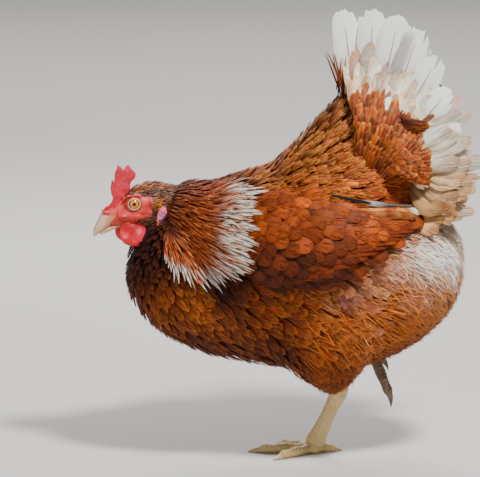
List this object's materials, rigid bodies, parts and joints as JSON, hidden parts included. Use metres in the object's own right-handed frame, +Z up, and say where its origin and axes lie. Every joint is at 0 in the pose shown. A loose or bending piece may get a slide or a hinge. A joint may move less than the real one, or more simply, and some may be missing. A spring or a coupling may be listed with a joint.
{
  "type": "laying hen",
  "caption": "Brown laying hen walking on one foot, the other lifted, with pale-edged hackle, red comb and raised white fan tail; a still, life-size model.",
  "frame": {"origin": "on the floor under the middle of the standing left foot's sole, in the plane that halves the body", "axes": "+Z up, -X the way the hen faces, -Y its left side, the side that the picture shows"},
  "size_m": [0.3583, 0.1931, 0.4292],
  "materials": {
    "rufous_feathers": "matte, feathered",
    "hackle_feathers": "matte, feathered",
    "white_feathers": "matte, feathered",
    "red_skin": "satin skin",
    "face_skin": "satin skin",
    "lobe_skin": "satin skin",
    "horn": "satin horn",
    "shank_scales": "satin scales",
    "eye": "wet"
  },
  "bodies": {
    "root": {"beak_lower": "horn", "beak_upper": "horn", "claw_left_hind": "horn", "claw_left_inner": "horn", "claw_left_middle": "horn", "claw_left_outer": "horn", "claw_right_hind": "horn", "claw_right_inner": "horn", "claw_right_middle": "horn", "claw_right_outer": "horn", "comb": "red_skin", "earlobe_left": "lobe_skin", "earlobe_right": "lobe_skin", "eye_left": "eye", "eye_right": "eye", "foot_left": "shank_scales", "foot_right": "shank_scales", "head": "face_skin", "neck": "hackle_feathers", "shank_left": "shank_scales", "shank_right": "shank_scales", "tail": "white_feathers", "thigh_left": "rufous_feathers", "thigh_right": "rufous_feathers", "torso": "rufous_feathers", "wattle_left": "red_skin", "wattle_right": "red_skin", "wing_left": "rufous_feathers", "wing_right": "rufous_feathers"}
  },
  "joints": []
}
